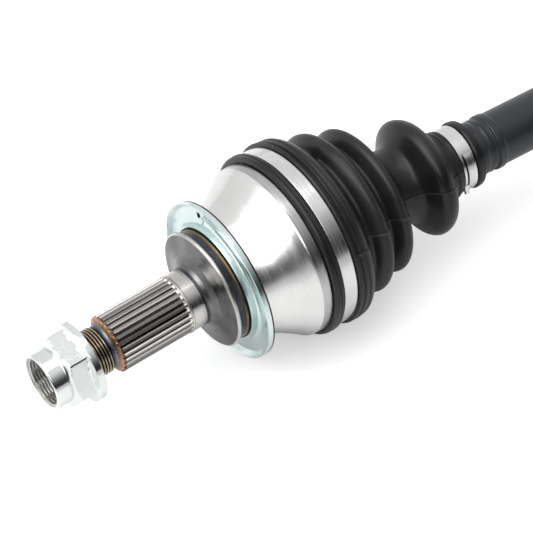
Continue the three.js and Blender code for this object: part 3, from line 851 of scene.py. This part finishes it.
def inner_boot_pieces():
    outside, inside = inner_boot_outline()
    seams = (SEAM_ANGLE, SEAM_ANGLE + math.pi)
    neck_x = -33 - 3.5 * FOLD_PITCH
    collar = round_corners([
        (-33.4, 48.9, 0, "rubber"),
        (-32.4, 49.3, 0.4, "rubber"),
        (-30.6, 48.6, 0.3, "rubber"),
        (-29.4, 48.6, 0.3, "rubber"),
        (-28.0, 49.3, 0.4, "rubber"),
        (-24.6, 48.8, 0.4, "rubber"),
        (-24.1, 46.4, 0.3, "rubber"),
        (-14.9, 46.4, 0.3, "rubber"),
        (-14.4, 48.2, 0.4, "rubber"),
        (-10.6, 48.2, 0.6, "rubber"),
        (-9.6, 47.2, 0.4, "rubber"),
        (-9.7, 44.9, 0.2, "rubber"),
        (-31.0, 44.9, 0, "rubber"),
    ])
    small_end = round_corners([
        (neck_x - 22, 12.7, 0, "rubber"),
        (neck_x - 22, 16.6, 0.3, "rubber"),
        (neck_x - 20.6, 17.5, 0.6, "rubber"),
        (neck_x - 18.2, 17.2, 0.6, "rubber"),
        (neck_x - 17.8, 14.7, 0.3, "rubber"),
        (neck_x - 8.8, 14.7, 0.3, "rubber"),
        (neck_x - 8.4, 17.6, 0.5, "rubber"),
        (neck_x - 5.0, 18.6, 0, "rubber"),
    ])
    outside_rows = smooth_curve(outside[::-1], "rubber")
    inside_rows = smooth_curve(inside, "rubber", 2.0)
    middle = INNER_CENTRE + Vector((INNER_SPLIT * MM, 0, 0))

    def stretch(name, rows, body_a, body_b, start, end):
        seamed = with_seam(rows, seams, 0.2, 0.5, neck_x - 8, -26)
        piece = turn(name, seamed, seam_angles(168, seams), INNER, smooth_angle=40)
        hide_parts("inner_boot")
        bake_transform(piece)

    slack = 1e-6
    large = [row for row in outside_rows if row[0] >= INNER_SPLIT - slack] + collar
    large += [row for row in inside_rows if row[0] >= INNER_SPLIT - slack]
    mouth = INNER_CENTRE + Vector((-34 * MM, 0, 0))
    stretch("inner_boot_large_folds", large, "inner_housing", "inner_boot", mouth, middle)
    small = small_end + [row for row in outside_rows if row[0] <= INNER_SPLIT + slack]
    small += [row for row in inside_rows if row[0] <= INNER_SPLIT + slack] + [(neck_x - 6, 12.7, "rubber")]
    neck = INNER_CENTRE + Vector(((neck_x - 4) * MM, 0, 0))
    stretch("inner_boot_small_folds", small, "inner_boot", "shaft", middle, neck)


inner_boot_pieces()

# ------------------------------------------------------------------ clamps


def band_rows(start, end, inside, thickness):
    return round_corners([
        (start, inside, 0, "band"),
        (start, inside + thickness, 0.25, "band"),
        (start + 0.9, inside + thickness, 0.1, "band"),
        (end - 0.9, inside + thickness, 0.1, "band"),
        (end, inside + thickness, 0.25, "band"),
        (end, inside, 0, "band"),
    ])


def band_piece(name, start, end, inside, thickness, matrix, body, node):
    piece = turn(name, band_rows(start, end, inside, thickness), even_angles(192), matrix)
    return finish_piece(piece, body, "clamp_steel", node)


TONGUE_FROM = math.radians(126)  # where the small clamp's folded tongue begins and ends
TONGUE_TO = math.radians(197)


def hooked_band(name, start, inside, matrix, body, node):
    """A small clamp: a band whose end is slit lengthwise into a thin strip and a wider tongue, with a hook."""
    thickness = 0.7
    width = 7.4
    slit_from, slit_to = 1.3, 2.2

    def share(angle):
        return min(1, max(0, (angle - TONGUE_FROM) / 0.12)) * min(1, max(0, (TONGUE_TO - angle) / 0.05))

    strip = inside + thickness

    def slit(angle):
        return strip - 0.62 * share(angle)

    def tongue(angle):
        return strip + 0.22 * share(angle)

    rows = [(start, inside, "band"), (start, strip, "band"), (start + slit_from, strip, "band")]
    rows += [(start + slit_from + 0.05, slit, "band"), (start + slit_to - 0.05, slit, "band")]
    rows += [(start + slit_to, tongue, "band"), (start + 4.8, tongue, "band"), (start + width - 0.3, tongue, "band")]
    rows += [(start + width, strip, "band"), (start + width, inside, "band")]
    piece = turn(name, rows, even_angles(240), matrix)
    mesh = piece.data
    # The slit is painted black as painted shade.
    mesh.materials.append(MATERIALS["soot"])
    for polygon in mesh.polygons:
        centre = polygon.center
        offset = centre.x / MM - start
        angle = math.atan2(centre.z, centre.y) % TURN
        if slit_from < offset < slit_to and share(angle) > 0.4:
            polygon.material_index = len(mesh.materials) - 1
    finish_piece(piece, body, "clamp_steel", node)
    path = [(184, 17.0), (188, 17.3), (192, 18.0), (195.5, 18.9), (198.5, 19.1), (200, 18.3), (198, 17.6), (194, 17.3)]
    hook = ribbon(name + "_hook", path, start - 0.5, start + 1.9, 0.5, matrix)
    return finish_piece(hook, body, "clamp_steel", node)


def ribbon(name, path, from_x, to_x, thickness, matrix):
    """A bent strip of sheet: path is (degrees round the axis, radius) points, widened along the axis."""
    centres = [Vector((radius * math.cos(math.radians(turn_by)), radius * math.sin(math.radians(turn_by))))
               for turn_by, radius in path]
    vertices = []
    for index, centre in enumerate(centres):
        ahead = centres[min(index + 1, len(centres) - 1)] - centres[max(index - 1, 0)]
        side = Vector((-ahead.y, ahead.x)).normalized() * thickness / 2
        for x in (from_x, to_x):
            for place in (centre + side, centre - side):
                vertices.append((x * MM, place.x * MM, place.y * MM))
    faces = [(0, 1, 3, 2), (len(vertices) - 4, len(vertices) - 2, len(vertices) - 1, len(vertices) - 3)]
    for index in range(len(centres) - 1):
        a = index * 4
        faces += [(a, a + 4, a + 5, a + 1), (a + 2, a + 3, a + 7, a + 6)]
        faces += [(a, a + 2, a + 6, a + 4), (a + 1, a + 5, a + 7, a + 3)]
    mesh = bpy.data.meshes.new(name)
    mesh.from_pydata(vertices, [], faces)
    mesh.materials.append(MATERIALS["band"])
    bm = bmesh.new()
    bm.from_mesh(mesh)
    bmesh.ops.recalc_face_normals(bm, faces=bm.faces)
    edges = [edge for edge in bm.edges if edge.calc_face_angle(0) > 1.2]
    bmesh.ops.bevel(bm, geom=edges, offset=0.1 * MM, segments=2, affect="EDGES")
    bm.to_mesh(mesh)
    bm.free()
    mesh.shade_smooth()
    mesh.set_sharp_from_angle(angle=math.radians(40))
    piece = bpy.data.objects.new(name, mesh)
    piece.matrix_world = matrix
    bpy.context.scene.collection.objects.link(piece)
    return piece


band_piece("outer_large_band", 18.2, 25.8, 46.5, 0.8, OUTER, "outer_housing", "outer_boot_large_clamp")
hooked_band("outer_small_band", 113.0, 16.2, SHAFT, "shaft", "outer_boot_small_clamp")
band_piece("inner_large_band", -23.8, -15.2, 46.5, 0.8, INNER, "inner_housing", "inner_boot_large_clamp")
hooked_band("inner_small_band", -98.9, 14.9, INNER, "shaft", "inner_boot_small_clamp")

# ------------------------------------------------------------------ half shaft


def shaft_piece():
    far = JOINT_SPACING
    rows = round_corners([
        (-16, 0, 0, "phosphate"),
        (-16, 10, 0.3, "phosphate"),
        (-15, 11, 0.2, "phosphate"),
        (-12.3, 11, 0, "phosphate"),
        (-12.3, 9.6, 0, "phosphate"),
        (-10.7, 9.6, 0, "phosphate"),
        (-10.7, 11, 0, "phosphate"),
        (13, 11, 0.5, "phosphate"),
        (14.5, 11.6, 1, "paint"),
        (102, 11.6, 4, "paint"),
        (108, 12.3, 1, "paint"),
        (126.3, 12.3, 0.3, "paint"),
        (126.8, 14.2, 0.5, "paint"),
        (130.0, 14.3, 1.2, "paint"),
        (131.4, 13.8, 1.0, "paint"),
        (133.4, 14.3, 0.6, "paint"),
        (134.3, 13.4, 0.4, "paint"),
        (136.2, 13.4, 0.4, "paint"),
        (137.0, 14.7, 0.6, "paint"),
        (140.4, 14.7, 0.7, "paint"),
        (141.5, 14.0, 0.6, "paint"),
        (far - 108, 14.0, 0.6, "paint"),
        (far - 106, 12.3, 0.6, "paint"),
        (far - 88, 12.3, 2, "paint"),
        (far - 82, 11.6, 2, "paint"),
        (far - 15, 11.6, 1, "phosphate"),
        (far - 13, 11, 0.5, "phosphate"),
        (far + 11.2, 11, 0, "phosphate"),
        (far + 11.2, 9.6, 0, "phosphate"),
        (far + 12.8, 9.6, 0, "phosphate"),
        (far + 12.8, 11, 0, "phosphate"),
        (far + 15, 11, 0.2, "phosphate"),
        (far + 16, 10, 0.3, "phosphate"),
        (far + 16, 0, 0, "phosphate"),
    ])
    piece = turn("half_shaft", rows, even_angles(128), SHAFT, closed=False)
    return finish_piece(piece, "shaft", "painted_steel", "axle_shaft")


shaft_piece()

# ------------------------------------------------------------------ inner joint housing


CHANNEL_BORE = 27
CHANNEL_HALF_WIDTH = 15.9
CHANNEL_DEPTH = 40


def channel_reach(angle):
    """The cup's inside: its bore, or a roller channel's wall where that is further out."""
    third = TURN / 3
    offset = (angle - TURN / 4 + third / 2) % third - third / 2
    along_arm = CHANNEL_DEPTH / math.cos(offset)
    across_arm = CHANNEL_HALF_WIDTH / max(abs(math.sin(offset)), 1e-6)
    return max(CHANNEL_BORE, min(along_arm, across_arm))


def inner_housing_piece():
    cup = round_corners([
        (-30, 42, 0, "phosphate"),
        (-30, 44.6, 0.5, "phosphate"),
        (-9.2, 44.6, 0.2, "phosphate"),
        (-9.2, 47.5, 0.6, "turned_grey"),
        (36, 47.5, 6, "forged"),
        (44, 43.6, 5, "forged"),
        (49, 34, 5, "forged"),
        (53, 24, 4, "forged"),
        (60, 21.5, 0.4, "turned_grey"),
        (60, 17.5, 0.4, "ground"),
        (78, 17.5, 0.6, "ground"),
        (80, 13.6, 1, "forged"),
        (80.6, 13.0, 0, "forged"),
    ])
    teeth = spline_rows(80.8, 141, 14.4, 13.2, 26, 13.0, 13.0)
    end = round_corners([
        (141.2, 13, 0, "forged"),
        (143.2, 13, 0, "forged"),
        (143.2, 11.6, 0.1, "forged"),
        (144.8, 11.6, 0.1, "forged"),
        (144.8, 13, 0.1, "forged"),
        (148, 13, 0.4, "forged"),
        (150, 11, 0.4, "turned_grey"),
        (150, 0, 0, "turned_grey"),
    ])
    mouth = [(x, channel_reach, "turned_grey") for x in (42, 30, 15, 0, -15, -30)]
    rows = [(42, 0, "turned_grey")] + mouth + cup + teeth + end
    piece = turn("inner_joint_body", rows, even_angles(26 * 12), INNER, closed=False)
    return finish_piece(piece, "inner_housing", "forged_steel", "inner_joint_housing")


inner_housing_piece()

# ------------------------------------------------------------------ CAD pieces that stay

SLOT_FINISHES = {
    "bearing_steel": "bearing",
    "spring_steel": "spring",
    "forged_steel": "phosphate",
}


def finish_cad_nodes():
    slots = {part["node"]: part["material_slot"] for part in frame["record"]["subparts"]}
    for name, node in frame["nodes"].items():
        finish = SLOT_FINISHES.get(slots[name])
        if finish is None:
            continue
        node.data.materials.clear()
        node.data.materials.append(MATERIALS[finish])


finish_cad_nodes()

# ------------------------------------------------------------------ floor and light


FLOOR_DROP = 0.0006  # keeps the floor clear of the lowest faces, which would flicker on it
FLOOR_GLOW = 0.42


def add_floor():
    mesh = bpy.data.meshes.new("floor")
    half = 6
    corners = [(-half, -half, 0), (half, -half, 0), (half, half, 0), (-half, half, 0)]
    mesh.from_pydata(corners, [], [(0, 1, 2, 3)])
    shader = Shader("floor_white", (0.73, 0.73, 0.73), 0.8, 0)
    seen = shader.nodes.new("ShaderNodeLightPath").outputs["Is Camera Ray"]
    glow = shader.math("MULTIPLY", seen, FLOOR_GLOW)
    shader.surface.inputs["Emission Color"].default_value = (1, 1, 1, 1)
    shader.join(glow, shader.surface.inputs["Emission Strength"])
    mesh.materials.append(shader.material)
    floor = bpy.data.objects.new("floor", mesh)
    floor.location.z = -FLOOR_DROP
    bpy.context.scene.collection.objects.link(floor)


def add_light(name, place, size, power):
    data = bpy.data.lights.new(name, "AREA")
    data.shape = "RECTANGLE"
    data.size, data.size_y = size
    data.energy = power
    light = bpy.data.objects.new(name, data)
    light.location = OUTER_CENTRE + Vector(place)
    light.rotation_euler = (-Vector(place)).to_track_quat("-Z", "Y").to_euler()
    bpy.context.scene.collection.objects.link(light)


def add_world():
    """A white studio with a dark stretch low on the camera's side, which the turned steel reflects as a band."""
    world = bpy.data.worlds.new("studio")
    bpy.context.scene.world = world
    world.use_nodes = True
    nodes = world.node_tree.nodes
    links = world.node_tree.links
    coordinates = nodes.new("ShaderNodeTexCoord")
    split = nodes.new("ShaderNodeSeparateXYZ")
    links.new(coordinates.outputs["Generated"], split.inputs[0])

    def spread(source, low, high):
        node = nodes.new("ShaderNodeMapRange")
        node.inputs["From Min"].default_value = low
        node.inputs["From Max"].default_value = high
        links.new(source, node.inputs["Value"])
        return node.outputs["Result"]

    ramp = nodes.new("ShaderNodeValToRGB")
    links.new(spread(split.outputs["Z"], -1, 1), ramp.inputs["Fac"])
    stops = (
        (0.0, 0.66), (0.555, 0.72), (0.57, 0.03), (0.67, 0.03), (0.76, 0.11), (0.85, 0.42), (0.94, 0.9),
    )
    while len(ramp.color_ramp.elements) < len(stops):
        ramp.color_ramp.elements.new(0.5)
    for element, (place, level) in zip(ramp.color_ramp.elements, stops):
        element.position = place
        element.color = (level, level, level, 1)

    def mix(share, first, second):
        node = nodes.new("ShaderNodeMix")
        node.data_type = "RGBA"
        links.new(share, node.inputs["Factor"])
        for socket, value in zip((node.inputs[6], node.inputs[7]), (first, second)):
            if isinstance(value, float):
                socket.default_value = (value, value, value, 1)
            else:
                links.new(value, socket)
        return node.outputs[2]

    near_side = spread(split.outputs["Y"], 0.05, -0.42)
    room = mix(near_side, 0.93, ramp.outputs["Color"])
    seen = mix(nodes.new("ShaderNodeLightPath").outputs["Is Camera Ray"], room, 1.0)
    links.new(seen, nodes["Background"].inputs["Color"])
    nodes["Background"].inputs["Strength"].default_value = 1.0


bpy.context.scene.view_settings.view_transform = "Standard"
add_floor()
add_world()
add_light("overhead", (-0.15, 0.2, 1.5), (1.2, 1.2), 9)
add_light("left_fill", (-1.3, 0.4, 0.9), (1.3, 1.2), 8)
add_light("key_softbox", (-0.74, -0.26, 1.03), (1.7, 0.62), 12)
